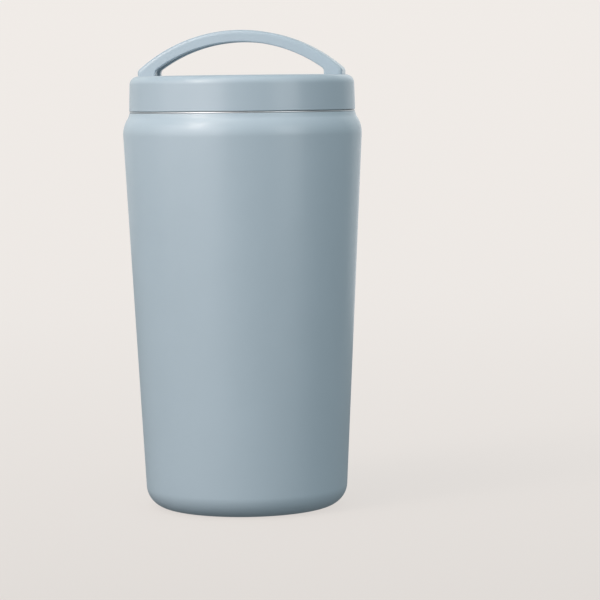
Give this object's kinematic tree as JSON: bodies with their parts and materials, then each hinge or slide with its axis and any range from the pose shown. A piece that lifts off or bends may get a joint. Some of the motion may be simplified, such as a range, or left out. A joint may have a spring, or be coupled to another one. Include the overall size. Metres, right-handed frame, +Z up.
{
  "type": "insulated carry tumbler",
  "caption": "Tapered double-wall steel cup with a rounded shoulder and foot, a flat screw lid with a threaded plug, and an arched carry handle across the lid.",
  "frame": {"origin": "centre of the foot ring, on the surface that the cup stands on", "axes": "+Z up along the cup's axis, +X along the span of the carry handle"},
  "size_m": [0.0976, 0.0976, 0.1951],
  "materials": {
    "powder_coat": "fine-grained satin powder coat, pale blue-grey",
    "moulded_plastic": "satin moulded plastic, pale blue-grey",
    "bare_steel": "satin stainless steel",
    "screw_steel": "plain steel",
    "copper_foil": "bright foil",
    "silicone": "matte translucent white",
    "white_foam": "matte expanded foam",
    "solder_glass": "fused dark glass",
    "getter_alloy": "matte sintered metal"
  },
  "bodies": {
    "cup": {"outer_shell": "powder_coat", "outer_base": "powder_coat", "base_cap": "bare_steel", "vacuum_seal": "solder_glass", "getter": "getter_alloy", "inner_vessel": "bare_steel", "radiation_foil": "copper_foil"},
    "lid_seal": {"lid_gasket": "silicone"},
    "lid": {"lid_cover": "moulded_plastic", "lid_plug": "moulded_plastic", "lid_foam": "white_foam", "carry_handle": "moulded_plastic", "handle_clamp_left": "bare_steel", "handle_clamp_right": "bare_steel", "handle_screw_1": "screw_steel", "handle_screw_2": "screw_steel", "handle_screw_3": "screw_steel", "handle_screw_4": "screw_steel"}
  },
  "joints": [
    {"name": "lid_rise", "type": "slide", "parent": "cup", "child": "lid_seal", "axis": [0, 0, 1], "range_m": [0, 0.0201]},
    {"name": "lid_turn", "type": "hinge", "parent": "lid_seal", "child": "lid", "pos_m": [0, 0, 0.155], "axis": [0, 0, 1], "range_deg": [0, 720]}
  ],
  "couplings": [
    {"joint": "lid_rise", "follows": "lid_turn", "m_per_rad": 0.0015915}
  ]
}
